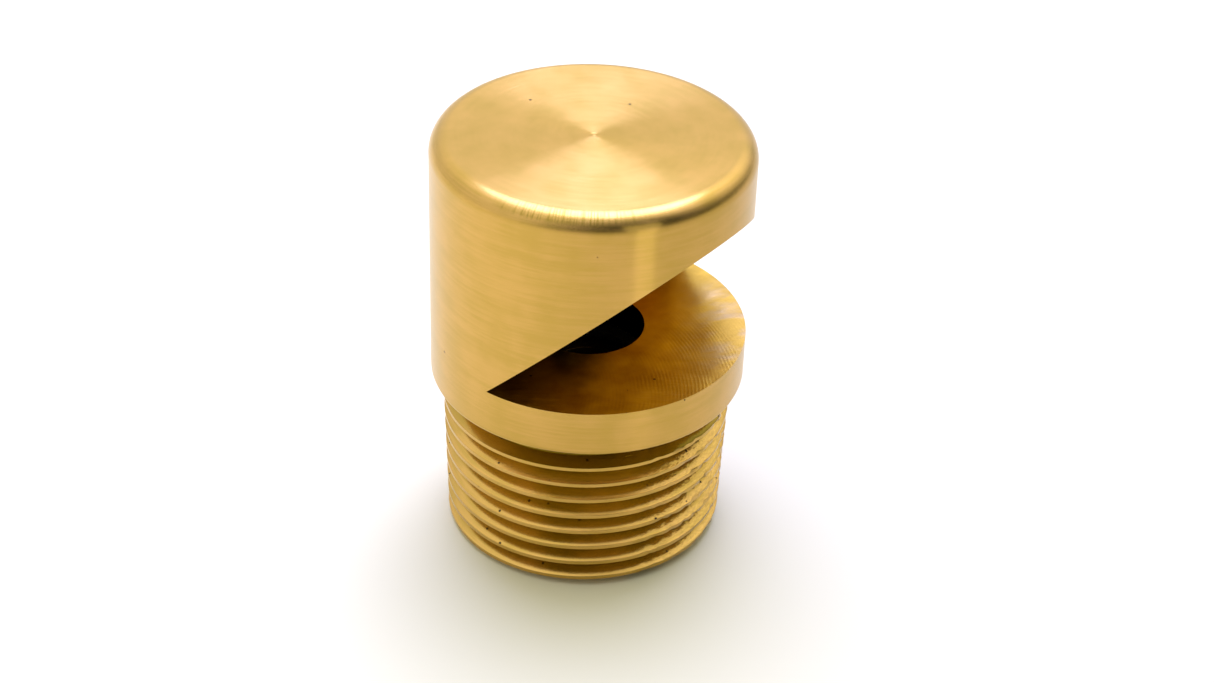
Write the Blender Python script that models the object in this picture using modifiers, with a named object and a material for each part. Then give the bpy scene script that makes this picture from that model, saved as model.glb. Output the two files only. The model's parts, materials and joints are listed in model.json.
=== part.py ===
"""Automatic air vent: a brass body with a side mouth and a taper thread, and the float valve inside it.

Frame: the origin is the centre of the shank's end face, +Z runs up the body's axis and the mouth opens
towards -Y. Heights are above the shank's end. The valve is stored at rest, with its float down.
"""

import math

import bmesh
import bpy

MM = 0.001
FULL_TURN = 2.0 * math.pi

# Body
BODY_RADIUS = 14.4 * MM
BODY_TOP = 40.1 * MM
TOP_FILLET = 1.64 * MM
LEDGE_HEIGHT = 20.5 * MM
COLLAR_UNDERSIDE = 16.07 * MM
COLLAR_CHAMFER = 0.35 * MM
MOUTH_VERTEX_Y = 0.4 * MM
MOUTH_ROOF_SLOPE = math.radians(44.5)
OUTLET_RADIUS = 5.14 * MM
DRILL_HALF_ANGLE = math.radians(59.0)

# Taper thread, 14 turns to the inch, 55 degree flanks, 1 in 16 on the diameter
THREAD_PITCH = 25.4 / 14.0 * MM
THREAD_DEPTH = 1.16 * MM
THREAD_FLANK = math.radians(27.5)
CREST_RADIUS_AT_COLLAR = 13.35 * MM
CREST_FLAT = 0.28 * MM
TAPER = 1.0 / 32.0
THREAD_TURNS = 9
THREAD_END_HEIGHT = 15.24 * MM
CUTTER_REACH = 0.6 * MM
RELIEF_RADIUS = 12.1 * MM
RELIEF_BOTTOM = 14.6 * MM
RELIEF_RAMP = 0.4 * MM
END_CHAMFER = 0.5 * MM

# Chamber inside the shank
CHAMBER_RADIUS = 9.3 * MM
CHAMBER_ROOF = 17.2 * MM
RING_GROOVE_RADIUS = 9.9 * MM
RING_GROOVE_BOTTOM = 1.2 * MM
RING_GROOVE_TOP = 2.6 * MM

# Stack held in the chamber
STACK_RADIUS = 9.0 * MM
RING_RADIUS = 9.6 * MM
RING_INNER_RADIUS = 8.3 * MM
RING_BOTTOM = 1.4 * MM
RING_TOP = 2.4 * MM
RING_HALF_GAP = math.radians(17.0)
RING_LUG_RADIUS = 6.9 * MM
RING_LUG_ANGLE = math.radians(15.0)
RING_LUG_HOLE = 0.5 * MM
STRAINER_BOTTOM = 2.7 * MM
STRAINER_TOP = 3.2 * MM
STRAINER_HOLE_RADIUS = 0.85 * MM
STRAINER_HOLE_PITCH = 2.9 * MM
STRAINER_RIM = 0.7 * MM
SPIDER_BOTTOM = 3.5 * MM
SPIDER_TOP = 4.7 * MM
SPIDER_RIM_RADIUS = 7.6 * MM
SPIDER_HUB_RADIUS = 2.6 * MM
SPIDER_ARMS = 4
SPIDER_ARM_HALF_WIDTH = 0.8 * MM
SLEEVE_INNER_RADIUS = 8.4 * MM
SLEEVE_BOTTOM = 5.0 * MM
SLEEVE_TOP = 13.8 * MM
SEAT_BOTTOM = 14.1 * MM
SEAT_TOP = 15.7 * MM
SEAT_HOLE_RADIUS = 3.0 * MM
SEAT_LIP_BOTTOM = 13.55 * MM
SEAT_LIP_FLAT = 0.4 * MM
SEAT_LIP_RADIUS = 4.0 * MM
GASKET_BOTTOM = 16.0 * MM
GASKET_TOP = 16.9 * MM
GASKET_HOLE_RADIUS = 4.2 * MM

# Float, with its guide
PIN_RADIUS = 1.0 * MM
PIN_BOTTOM = 3.6 * MM
PIN_TOP = 9.0 * MM
PIN_CHAMFER = 0.2 * MM
PIN_CLEARANCE = 0.15 * MM
FLOAT_RADIUS = 7.6 * MM
FLOAT_WALL = 0.7 * MM
FLOAT_BOTTOM = 4.9 * MM
FLOAT_TOP = 10.9 * MM
FLOAT_EDGE = 0.6 * MM
FLOAT_CEILING = 9.3 * MM
FLOAT_TUBE_RADIUS = 2.0 * MM
FLOAT_TUBE_BOTTOM = 6.0 * MM
FLOAT_TUBE_TOP = 9.2 * MM
FLOAT_CAP_TOP = 5.8 * MM
FLOAT_CAP_RADIUS = 6.65 * MM
DISC_RADIUS = 4.5 * MM
DISC_BOTTOM = 10.25 * MM
DISC_TOP = 11.2 * MM
DISC_CHAMFER = 0.15 * MM
DISC_RECESS_RADIUS = 4.7 * MM
DISC_RECESS_FLOOR = 10.1 * MM

# Smoothness
BODY_STEPS = 48
INNER_STEPS = 32
PIN_STEPS = 16
HOLE_STEPS = 8
FILLET_STEPS = 4
MERGE = 0.001 * MM
SMOOTH_ANGLE = math.radians(30.0)

PARTS = "automatic_air_vent"
CUTTERS = "automatic_air_vent_cutters"


def clear_scene():
    for item in list(bpy.data.objects):
        bpy.data.objects.remove(item, do_unlink=True)
    for name in (PARTS, CUTTERS):
        bpy.context.scene.collection.children.link(bpy.data.collections.new(name))


def material(name, colour, roughness, metallic):
    made = bpy.data.materials.new(name)
    made.use_nodes = True
    shader = made.node_tree.nodes["Principled BSDF"]
    shader.inputs["Base Color"].default_value = (*colour, 1.0)
    shader.inputs["Roughness"].default_value = roughness
    shader.inputs["Metallic"].default_value = metallic
    return made


def add_object(name, data, look, collection=PARTS):
    item = bpy.data.objects.new(name, data)
    bpy.data.collections[collection].objects.link(item)
    if look:
        data.materials.append(look)
    return item


def shade(item):
    item.data.shade_smooth()
    item.data.set_sharp_from_angle(angle=SMOOTH_ANGLE)


def crest_radius(height):
    """Radius of the thread's crest cone at a height."""
    return CREST_RADIUS_AT_COLLAR - (COLLAR_UNDERSIDE - height) * TAPER


def arc(centre, radius, start, end, steps):
    """Points (across, up) on an arc, both ends included."""
    return [
        (
            centre[0] + radius * math.cos(start + (end - start) * i / steps),
            centre[1] + radius * math.sin(start + (end - start) * i / steps),
        )
        for i in range(steps + 1)
    ]


def circle(centre, radius, steps):
    """Points of a whole circle, without a repeated end point."""
    return arc(centre, radius, 0.0, FULL_TURN, steps)[:-1]


def profile_mesh(name, profile, is_loop):
    """Edges of a (radius, height) profile in the XZ plane."""
    count = len(profile)
    edges = [(i, i + 1) for i in range(count - 1)]
    if is_loop:
        edges.append((count - 1, 0))
    mesh = bpy.data.meshes.new(name)
    mesh.from_pydata([(radius, 0.0, height) for radius, height in profile], edges, [])
    return mesh


def turned(name, profile, look, steps=INNER_STEPS, is_loop=True):
    """A lathe-turned piece. The profile runs down its outer side; an open one starts and ends on the axis."""
    item = add_object(name, profile_mesh(name, profile, is_loop), look)
    screw = item.modifiers.new("turn", "SCREW")
    screw.axis = "Z"
    screw.angle = FULL_TURN
    screw.steps = steps
    screw.render_steps = steps
    screw.use_merge_vertices = True
    screw.merge_threshold = MERGE
    screw.use_smooth_shade = True
    return item


def ring_profile(inner, outer, bottom, top):
    return [(outer, top), (outer, bottom), (inner, bottom), (inner, top)]


def cut_plate(name, outlines, bottom, top, look):
    """A flat plate from closed outlines: the first is its edge and the others are holes."""
    curve = bpy.data.curves.new(name, "CURVE")
    curve.dimensions = "2D"
    curve.fill_mode = "BOTH"
    curve.extrude = (top - bottom) / 2.0
    for outline in outlines:
        spline = curve.splines.new("POLY")
        spline.points.add(len(outline) - 1)
        spline.use_cyclic_u = True
        for point, (x, y) in zip(spline.points, outline):
            point.co = (x, y, 0.0, 1.0)
    item = add_object(name, curve, look)
    item.location.z = (top + bottom) / 2.0
    return item


def mesh_from(item):
    """Turns a curve or modified object into a plain mesh object with the same name, look and place."""
    bpy.context.view_layer.update()
    evaluated = item.evaluated_get(bpy.context.evaluated_depsgraph_get())
    mesh = bpy.data.meshes.new_from_object(evaluated)
    made = bpy.data.objects.new(item.name + "_mesh", mesh)
    made.matrix_world = item.matrix_world.copy()
    item.users_collection[0].objects.link(made)
    name = item.name
    bpy.data.objects.remove(item, do_unlink=True)
    made.name = name
    shell = bmesh.new()
    shell.from_mesh(mesh)
    bmesh.ops.remove_doubles(shell, verts=shell.verts, dist=MERGE)
    open_edges = [edge for edge in shell.edges if edge.is_boundary]
    bmesh.ops.holes_fill(shell, edges=open_edges)
    bmesh.ops.recalc_face_normals(shell, faces=shell.faces)
    shell.to_mesh(mesh)
    shell.free()
    return made


def make_cutter(item):
    """Moves an object among the cutters, where it is not part of the model."""
    for collection in item.users_collection:
        collection.objects.unlink(item)
    bpy.data.collections[CUTTERS].objects.link(item)
    item.hide_render = True
    item.display_type = "WIRE"
    return item


def subtract(target, cutter):
    boolean = target.modifiers.new("cut_" + cutter.name, "BOOLEAN")
    boolean.operation = "DIFFERENCE"
    boolean.solver = "EXACT"
    boolean.object = cutter


def body_profile():
    """Outer side from the top's centre down to the shank's end, then the chamber and the outlet bore."""
    fillet_centre = (BODY_RADIUS - TOP_FILLET, BODY_TOP - TOP_FILLET)
    outer = [(0.0, BODY_TOP)]
    outer += arc(fillet_centre, TOP_FILLET, math.pi / 2.0, 0.0, FILLET_STEPS)
    outer += [
        (BODY_RADIUS, LEDGE_HEIGHT),
        (BODY_RADIUS, COLLAR_UNDERSIDE + COLLAR_CHAMFER),
        (BODY_RADIUS - COLLAR_CHAMFER, COLLAR_UNDERSIDE),
        (RELIEF_RADIUS, COLLAR_UNDERSIDE),
        (RELIEF_RADIUS, RELIEF_BOTTOM),
        (crest_radius(RELIEF_BOTTOM - RELIEF_RAMP), RELIEF_BOTTOM - RELIEF_RAMP),
        (crest_radius(END_CHAMFER), END_CHAMFER),
        (crest_radius(0.0) - END_CHAMFER, 0.0),
    ]
    drill_tip = LEDGE_HEIGHT + OUTLET_RADIUS / math.tan(DRILL_HALF_ANGLE)
    inner = [
        (CHAMBER_RADIUS, 0.0),
        (CHAMBER_RADIUS, RING_GROOVE_BOTTOM),
        (RING_GROOVE_RADIUS, RING_GROOVE_BOTTOM),
        (RING_GROOVE_RADIUS, RING_GROOVE_TOP),
        (CHAMBER_RADIUS, RING_GROOVE_TOP),
        (CHAMBER_RADIUS, CHAMBER_ROOF),
        (OUTLET_RADIUS, CHAMBER_ROOF),
        (OUTLET_RADIUS, LEDGE_HEIGHT),
        (0.0, drill_tip),
    ]
    return outer + inner


def thread_cutter():
    """The groove between the thread's crests: one closed section carried along a right-hand helix."""
    mouth_half = (THREAD_PITCH - CREST_FLAT) / 2.0
    root_half = mouth_half - THREAD_DEPTH * math.tan(THREAD_FLANK)
    crest = crest_radius(THREAD_END_HEIGHT)
    start = THREAD_END_HEIGHT - THREAD_TURNS * THREAD_PITCH
    section = [
        (crest + CUTTER_REACH, mouth_half),
        (crest + CUTTER_REACH, -mouth_half),
        (crest, -mouth_half),
        (crest - THREAD_DEPTH, -root_half),
        (crest - THREAD_DEPTH, root_half),
        (crest, mouth_half),
    ]
    profile = [(radius, start + offset) for radius, offset in section]
    item = turned("thread_groove", profile, None, BODY_STEPS)
    item.modifiers["turn"].screw_offset = THREAD_PITCH
    item.modifiers["turn"].iterations = THREAD_TURNS
    item = mesh_from(item)
    for vertex in item.data.vertices:
        radius = math.hypot(vertex.co.x, vertex.co.y)
        narrowed = radius - (THREAD_END_HEIGHT - vertex.co.z) * TAPER
        vertex.co.x *= narrowed / radius
        vertex.co.y *= narrowed / radius
    return make_cutter(item)


def mouth_cutter():
    """The wedge milled out of the side: a flat floor and a sloping roof that meet near the axis."""
    reach = 2.0 * BODY_RADIUS
    rise = (reach + MOUTH_VERTEX_Y) * math.tan(MOUTH_ROOF_SLOPE)
    outline = [
        (MOUTH_VERTEX_Y, LEDGE_HEIGHT),
        (-reach, LEDGE_HEIGHT + rise),
        (-reach, LEDGE_HEIGHT),
    ]
    item = cut_plate("mouth_wedge", [outline], -reach, reach, None)
    item.rotation_euler = (math.pi / 2.0, 0.0, math.pi / 2.0)
    return make_cutter(mesh_from(item))


def build_body(brass):
    blank = turned("vent_body", body_profile(), brass, BODY_STEPS, is_loop=False)
    body = mesh_from(blank)
    subtract(body, thread_cutter())
    subtract(body, mouth_cutter())
    shade(body)


def build_seat(brass, rubber):
    turned(
        "seat_plate",
        [
            (STACK_RADIUS, SEAT_TOP),
            (STACK_RADIUS, SEAT_BOTTOM),
            (SEAT_LIP_RADIUS, SEAT_BOTTOM),
            (SEAT_HOLE_RADIUS + SEAT_LIP_FLAT, SEAT_LIP_BOTTOM),
            (SEAT_HOLE_RADIUS, SEAT_LIP_BOTTOM),
            (SEAT_HOLE_RADIUS, SEAT_TOP),
        ],
        brass,
    )
    turned("seat_gasket", ring_profile(GASKET_HOLE_RADIUS, STACK_RADIUS, GASKET_BOTTOM, GASKET_TOP), rubber)


def build_float(plastic, rubber):
    bore = PIN_RADIUS + PIN_CLEARANCE
    inside = FLOAT_RADIUS - FLOAT_WALL
    turned(
        "float_shell",
        [
            (0.0, DISC_RECESS_FLOOR),
            (DISC_RECESS_RADIUS, DISC_RECESS_FLOOR),
            (DISC_RECESS_RADIUS, FLOAT_TOP),
            (FLOAT_RADIUS - FLOAT_EDGE, FLOAT_TOP),
            (FLOAT_RADIUS, FLOAT_TOP - FLOAT_EDGE),
            (FLOAT_RADIUS, FLOAT_BOTTOM),
            (inside, FLOAT_BOTTOM),
            (inside, FLOAT_CEILING),
            (FLOAT_TUBE_RADIUS, FLOAT_CEILING),
            (FLOAT_TUBE_RADIUS, FLOAT_TUBE_BOTTOM),
            (bore, FLOAT_TUBE_BOTTOM),
            (bore, FLOAT_TUBE_TOP),
            (0.0, FLOAT_TUBE_TOP),
        ],
        plastic,
        is_loop=False,
    )
    turned("float_cap", ring_profile(bore, FLOAT_CAP_RADIUS, FLOAT_BOTTOM, FLOAT_CAP_TOP), plastic)
    turned(
        "valve_disc",
        [
            (0.0, DISC_TOP),
            (DISC_RADIUS - DISC_CHAMFER, DISC_TOP),
            (DISC_RADIUS, DISC_TOP - DISC_CHAMFER),
            (DISC_RADIUS, DISC_BOTTOM),
            (0.0, DISC_BOTTOM),
        ],
        rubber,
        is_loop=False,
    )


def build_guide(steel, plastic):
    turned(
        "guide_pin",
        [
            (0.0, PIN_TOP),
            (PIN_RADIUS - PIN_CHAMFER, PIN_TOP),
            (PIN_RADIUS, PIN_TOP - PIN_CHAMFER),
            (PIN_RADIUS, PIN_BOTTOM),
            (0.0, PIN_BOTTOM),
        ],
        steel,
        PIN_STEPS,
        is_loop=False,
    )
    turned("spacer_sleeve", ring_profile(SLEEVE_INNER_RADIUS, STACK_RADIUS, SLEEVE_BOTTOM, SLEEVE_TOP), steel)
    outlines = [
        circle((0.0, 0.0), STACK_RADIUS, INNER_STEPS),
        circle((0.0, 0.0), PIN_RADIUS + PIN_CLEARANCE, PIN_STEPS),
    ]
    outlines += [spider_window(arm * FULL_TURN / SPIDER_ARMS) for arm in range(SPIDER_ARMS)]
    cut_plate("guide_spider", outlines, SPIDER_BOTTOM, SPIDER_TOP, plastic)


def spider_window(start):
    """One opening between two arms: an arc under the rim and an arc round the hub."""
    rim_margin = math.asin(SPIDER_ARM_HALF_WIDTH / SPIDER_RIM_RADIUS)
    hub_margin = math.asin(SPIDER_ARM_HALF_WIDTH / SPIDER_HUB_RADIUS)
    end = start + FULL_TURN / SPIDER_ARMS
    rim = arc((0.0, 0.0), SPIDER_RIM_RADIUS, start + rim_margin, end - rim_margin, HOLE_STEPS)
    hub = arc((0.0, 0.0), SPIDER_HUB_RADIUS, end - hub_margin, start + hub_margin, FILLET_STEPS)
    return rim + hub


def build_strainer(steel):
    """A disc with round holes on a triangular grid, as far out as its plain rim allows."""
    reach = STACK_RADIUS - STRAINER_RIM - STRAINER_HOLE_RADIUS
    rows = math.ceil(reach / STRAINER_HOLE_PITCH) + 1
    outlines = [circle((0.0, 0.0), STACK_RADIUS, INNER_STEPS)]
    for row in range(-rows, rows + 1):
        for column in range(-2 * rows, 2 * rows + 1):
            x = (column + row / 2.0) * STRAINER_HOLE_PITCH
            y = row * STRAINER_HOLE_PITCH * math.sqrt(3.0) / 2.0
            if math.hypot(x, y) <= reach:
                outlines.append(circle((x, y), STRAINER_HOLE_RADIUS, HOLE_STEPS))
    cut_plate("inlet_strainer", outlines, STRAINER_BOTTOM, STRAINER_TOP, steel)


def build_retaining_ring(steel):
    """A C-shaped circlip whose two ends widen into lugs with plier holes."""
    first = RING_HALF_GAP
    last = FULL_TURN - RING_HALF_GAP
    outline = arc((0.0, 0.0), RING_RADIUS, first, last, INNER_STEPS)
    outline += arc((0.0, 0.0), RING_LUG_RADIUS, last, last - RING_LUG_ANGLE, 2)
    outline += arc((0.0, 0.0), RING_INNER_RADIUS, last - RING_LUG_ANGLE, first + RING_LUG_ANGLE, INNER_STEPS)
    outline += arc((0.0, 0.0), RING_LUG_RADIUS, first + RING_LUG_ANGLE, first, 2)
    hole_distance = (RING_RADIUS + RING_LUG_RADIUS) / 2.0
    outlines = [outline]
    for angle in (first + RING_LUG_ANGLE / 2.0, last - RING_LUG_ANGLE / 2.0):
        centre = (hole_distance * math.cos(angle), hole_distance * math.sin(angle))
        outlines.append(circle(centre, RING_LUG_HOLE, HOLE_STEPS))
    cut_plate("retaining_ring", outlines, RING_BOTTOM, RING_TOP, steel)


def main():
    clear_scene()
    brass = material("brass", (0.80, 0.58, 0.28), 0.30, 1.0)
    steel = material("stainless_steel", (0.62, 0.62, 0.60), 0.35, 1.0)
    rubber = material("nitrile_rubber", (0.02, 0.02, 0.02), 0.70, 0.0)
    float_plastic = material("float_plastic", (0.85, 0.84, 0.80), 0.45, 0.0)
    guide_plastic = material("guide_plastic", (0.05, 0.05, 0.05), 0.50, 0.0)
    build_body(brass)
    build_seat(brass, rubber)
    build_float(float_plastic, rubber)
    build_guide(steel, guide_plastic)
    build_strainer(steel)
    build_retaining_ring(steel)


main()
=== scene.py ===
"""Looks of the automatic air vent: fine meshes, materials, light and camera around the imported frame.

Everything is in metres in the frame's own axes: the shank's end is at z = 0, +Z runs up the body's axis
and the mouth opens towards -Y.
"""

import json
import math

import bmesh
import bpy
from mathutils import Matrix, Vector, noise

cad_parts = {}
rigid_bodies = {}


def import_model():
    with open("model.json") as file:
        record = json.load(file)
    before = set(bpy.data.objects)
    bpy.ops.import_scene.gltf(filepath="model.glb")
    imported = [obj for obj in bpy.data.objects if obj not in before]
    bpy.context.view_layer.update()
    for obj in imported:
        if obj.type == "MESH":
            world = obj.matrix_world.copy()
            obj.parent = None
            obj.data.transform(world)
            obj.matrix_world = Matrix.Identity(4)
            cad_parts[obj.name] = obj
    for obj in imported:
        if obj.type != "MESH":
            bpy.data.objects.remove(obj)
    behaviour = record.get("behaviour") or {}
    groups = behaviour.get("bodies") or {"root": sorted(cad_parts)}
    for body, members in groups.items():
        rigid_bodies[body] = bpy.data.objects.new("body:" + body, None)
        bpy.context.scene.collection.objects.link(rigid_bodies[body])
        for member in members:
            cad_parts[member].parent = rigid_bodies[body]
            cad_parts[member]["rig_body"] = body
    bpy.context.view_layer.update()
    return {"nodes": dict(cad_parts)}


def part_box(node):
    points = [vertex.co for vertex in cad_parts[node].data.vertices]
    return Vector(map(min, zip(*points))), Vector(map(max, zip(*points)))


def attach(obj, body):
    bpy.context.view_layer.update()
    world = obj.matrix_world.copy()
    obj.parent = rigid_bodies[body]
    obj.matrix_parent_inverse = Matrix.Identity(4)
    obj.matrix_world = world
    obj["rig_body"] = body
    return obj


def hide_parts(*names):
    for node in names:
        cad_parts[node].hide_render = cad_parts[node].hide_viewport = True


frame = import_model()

MM = 0.001
FULL_TURN = 2.0 * math.pi
MERGE = 0.0005 * MM
ON_PLANE = 0.002 * MM

# Smoothness
BODY_STEPS = 144
INNER_STEPS = 96
HOLE_STEPS = 24
PIN_STEPS = 48
ARC_STEPS = 4
SMOOTH_ANGLE = math.radians(32.0)
CORNER_SHARE = 0.45

# ---------------------------------------------------------------- sizes, read from the frame
BODY_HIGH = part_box("vent_body")[1]
BODY_RADIUS = BODY_HIGH.x
BODY_TOP = BODY_HIGH.z
GASKET_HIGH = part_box("seat_gasket")[1]
STACK_RADIUS = GASKET_HIGH.x
LEDGE_HEIGHT = BODY_TOP - 19.6 * MM
COLLAR_UNDERSIDE = LEDGE_HEIGHT - 4.43 * MM
CHAMBER_RADIUS = STACK_RADIUS + 0.3 * MM
CHAMBER_ROOF = GASKET_HIGH.z + 0.3 * MM

# ---------------------------------------------------------------- body details
TOP_FILLET = 1.64 * MM
FILLET_STEPS = 14
COLLAR_CHAMFER = 0.35 * MM
MOUTH_VERTEX_Y = 0.4 * MM
MOUTH_ROOF_SLOPE = math.radians(44.5)
MOUTH_EDGE_BREAK = 0.05 * MM
OUTLET_RADIUS = 5.14 * MM
DRILL_HALF_ANGLE = math.radians(59.0)
RING_GROOVE_RADIUS = 9.9 * MM
RING_GROOVE_BOTTOM = 1.2 * MM
RING_GROOVE_TOP = 2.6 * MM

# The dimple that facing leaves at the top's centre
DIMPLE_STEP = 0.16 * MM
DIMPLE_DEPTH = 0.03 * MM

# Taper thread, 14 turns to the inch, 30 degree flanks, 1 in 16 on the diameter
THREAD_PITCH = 25.4 / 14.0 * MM
THREAD_DEPTH = 1.16 * MM
THREAD_FLANK = math.radians(30.0)
CREST_RADIUS_AT_COLLAR = 13.35 * MM
CREST_FLAT = 0.36 * MM
CREST_EASE = 0.02 * MM
ROOT_ROUNDING = 0.22 * MM
TAPER = 1.0 / 32.0
THREAD_TURNS = 9
THREAD_START_ANGLE = math.radians(-22.5)
THREAD_END_HEIGHT = 15.24 * MM
CUTTER_REACH = 0.6 * MM
RELIEF_RADIUS = 12.1 * MM
RELIEF_BOTTOM = 14.6 * MM
RELIEF_RAMP = 0.4 * MM
END_CHAMFER = 0.5 * MM

# Nicks in the crests: the noise that makes them, and where they start and are full, as the cosine of the
# angle from the torn side
TEAR_SCALE = 2.1 / MM
TEAR_DEPTH = 0.45 * MM
TEAR_THRESHOLD = 0.08
TEAR_STARTS = 0.76
TEAR_FULL = 0.90

# ---------------------------------------------------------------- inner pieces
EDGE = 0.12 * MM
GASKET_EDGE = 0.2 * MM
DISC_EDGE = 0.15 * MM
PIN_EDGE = 0.2 * MM
STRAINER_EDGE = 0.06 * MM
RING_EDGE = 0.08 * MM
SEAT_HOLE_RADIUS = 3.0 * MM
SEAT_LIP_FLAT = 0.4 * MM
SEAT_LIP_RADIUS = 4.0 * MM
SEAT_PLATE_THICKNESS = 1.6 * MM
GASKET_HOLE_RADIUS = 4.2 * MM
SLEEVE_WALL = 0.6 * MM
PIN_CLEARANCE = 0.15 * MM
FLOAT_WALL = 0.7 * MM
FLOAT_EDGE = 0.6 * MM
FLOAT_TUBE_RADIUS = 2.0 * MM
FLOAT_CEILING = 9.3 * MM
FLOAT_TUBE_BOTTOM = 6.0 * MM
FLOAT_TUBE_TOP = 9.2 * MM
DISC_RECESS_RADIUS = 4.7 * MM
DISC_RECESS_FLOOR = 10.1 * MM
SPIDER_RIM_RADIUS = 7.6 * MM
SPIDER_HUB_RADIUS = 2.6 * MM
SPIDER_ARMS = 4
SPIDER_ARM_HALF_WIDTH = 0.8 * MM
STRAINER_HOLE_RADIUS = 0.85 * MM
STRAINER_HOLE_PITCH = 2.9 * MM
STRAINER_RIM = 0.7 * MM
RING_INNER_RADIUS = 8.3 * MM
RING_OUTER_RADIUS = 9.6 * MM
RING_HALF_GAP = math.radians(17.0)
RING_LUG_RADIUS = 6.9 * MM
RING_LUG_ANGLE = math.radians(15.0)
RING_LUG_HOLE = 0.5 * MM

# ---------------------------------------------------------------- camera
CAMERA_LENS = 69.76
CAMERA_SENSOR = 36.0
CAMERA_DISTANCE = 14.942 * BODY_RADIUS
CAMERA_ELEVATION = math.radians(33.795)
CAMERA_AZIMUTH = math.radians(-54.3)
CAMERA_PAN = math.radians(0.567)
CAMERA_TILT = math.radians(34.251)
CAMERA_ROLL = math.radians(2.135)

# ---------------------------------------------------------------- light
FLOOR_SIZE = 3.0
# The floor's painted shade ramps up across this span
FLOOR_SHADE_RAMP = (-0.06, 0.08)  # from its left colour to its right one, in metres across the view

# Each part of the room: azimuth, height, the angles from there where it starts to fade and ends, and
# how bright it is outside and inside; angles in degrees.
ROOM_PARTS = (
    (-127.0, 14.0, (68.0, 127.0), (0.05, 1.02)),
    (180.0, 68.0, (0.0, 62.0), (0.0, 0.50)),
    (122.0, 48.0, (8.0, 46.0), (0.0, 0.75)),
)


def round_the_axis(azimuth, distance, height):
    """A place at an angle from the camera's side of the axis, in degrees, positive to the camera's right."""
    turn = CAMERA_AZIMUTH + math.radians(azimuth)
    return (distance * math.sin(turn), -distance * math.cos(turn), height)


# ================================================================ mesh helpers
def arc(centre, radius, start, end, steps):
    """Points (across, up) on an arc, both ends included."""
    angles = [start + (end - start) * i / steps for i in range(steps + 1)]
    return [(centre[0] + radius * math.cos(a), centre[1] + radius * math.sin(a)) for a in angles]


def circle(centre, radius, steps):
    """Points of a whole circle, without a repeated end point."""
    return arc(centre, radius, 0.0, FULL_TURN, steps)[:-1]


def rounded(profile, radius, is_loop=True):
    """The profile with its corners eased, apart from the open ends."""
    count = len(profile)
    made = []
    for i, point in enumerate(profile):
        if not is_loop and i in (0, count - 1):
            made.append(tuple(point))
            continue
        corner = Vector(point)
        before = Vector(profile[i - 1]) - corner
        after = Vector(profile[(i + 1) % count]) - corner
        reach = min(radius, CORNER_SHARE * before.length, CORNER_SHARE * after.length)
        start = corner + before.normalized() * reach
        end = corner + after.normalized() * reach
        for step in range(ARC_STEPS + 1):
            t = step / ARC_STEPS
            made.append(tuple(start * (1 - t) ** 2 + corner * 2 * t * (1 - t) + end * t * t))
    return made


def plain_mesh(item, name):
    """A new mesh object from what an object evaluates to, welded and closed; the object is removed."""
    bpy.context.view_layer.update()
    evaluated = item.evaluated_get(bpy.context.evaluated_depsgraph_get())
    mesh = bpy.data.meshes.new_from_object(evaluated)
    mesh.transform(item.matrix_world)
    bpy.data.objects.remove(item, do_unlink=True)
    shell = bmesh.new()
    shell.from_mesh(mesh)
    bmesh.ops.remove_doubles(shell, verts=shell.verts, dist=MERGE)
    open_edges = [edge for edge in shell.edges if edge.is_boundary]
    bmesh.ops.holes_fill(shell, edges=open_edges)
    bmesh.ops.recalc_face_normals(shell, faces=shell.faces)
    shell.to_mesh(mesh)
    shell.free()
    mesh.name = name
    made = bpy.data.objects.new(name, mesh)
    bpy.context.scene.collection.objects.link(made)
    return made


def turned(name, profile, steps=INNER_STEPS, is_loop=True, helix_pitch=0.0, turns=1):
    """A lathe-turned mesh from a (radius, height) profile that runs down its outer side."""
    count = len(profile)
    edges = [(i, i + 1) for i in range(count - 1)]
    if is_loop:
        edges.append((count - 1, 0))
    mesh = bpy.data.meshes.new(name + "_profile")
    mesh.from_pydata([(radius, 0.0, height) for radius, height in profile], edges, [])
    item = bpy.data.objects.new(name + "_profile", mesh)
    bpy.context.scene.collection.objects.link(item)
    screw = item.modifiers.new("turn", "SCREW")
    screw.axis = "Z"
    screw.angle = FULL_TURN
    screw.steps = steps
    screw.render_steps = steps
    screw.use_merge_vertices = True
    screw.merge_threshold = MERGE
    screw.screw_offset = helix_pitch
    screw.iterations = turns
    return plain_mesh(item, name)


def cut_plate(name, outlines, bottom, top, edge=0.0):
    """A flat plate from closed outlines, its edges eased: the first is its rim and the others are holes."""
    curve = bpy.data.curves.new(name + "_outline", "CURVE")
    curve.dimensions = "2D"
    curve.fill_mode = "BOTH"
    curve.extrude = (top - bottom) / 2.0 - edge
    curve.bevel_depth = edge
    curve.bevel_resolution = 2
    curve.offset = -edge
    for outline in outlines:
        spline = curve.splines.new("POLY")
        spline.points.add(len(outline) - 1)
        spline.use_cyclic_u = True
        for point, (x, y) in zip(spline.points, outline):
            point.co = (x, y, 0.0, 1.0)
    item = bpy.data.objects.new(name + "_outline", curve)
    bpy.context.scene.collection.objects.link(item)
    item.location.z = (top + bottom) / 2.0
    return plain_mesh(item, name)


def subtract(target, cutter):
    """Cuts one mesh out of another and returns the result as a new object with the target's name."""
    boolean = target.modifiers.new("cut", "BOOLEAN")
    boolean.operation = "DIFFERENCE"
    boolean.solver = "EXACT"
    boolean.object = cutter
    name = target.name
    target.name = name + "_uncut"
    made = plain_mesh(target, name)
    bpy.data.objects.remove(cutter, do_unlink=True)
    return made


def smooth(item):
    """Smooth shading with crisp corners, and flat faces kept flat."""
    item.data.shade_smooth()
    item.data.set_sharp_from_angle(angle=SMOOTH_ANGLE)
    weighted = item.modifiers.new("flat_faces", "WEIGHTED_NORMAL")
    weighted.keep_sharp = True


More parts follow.
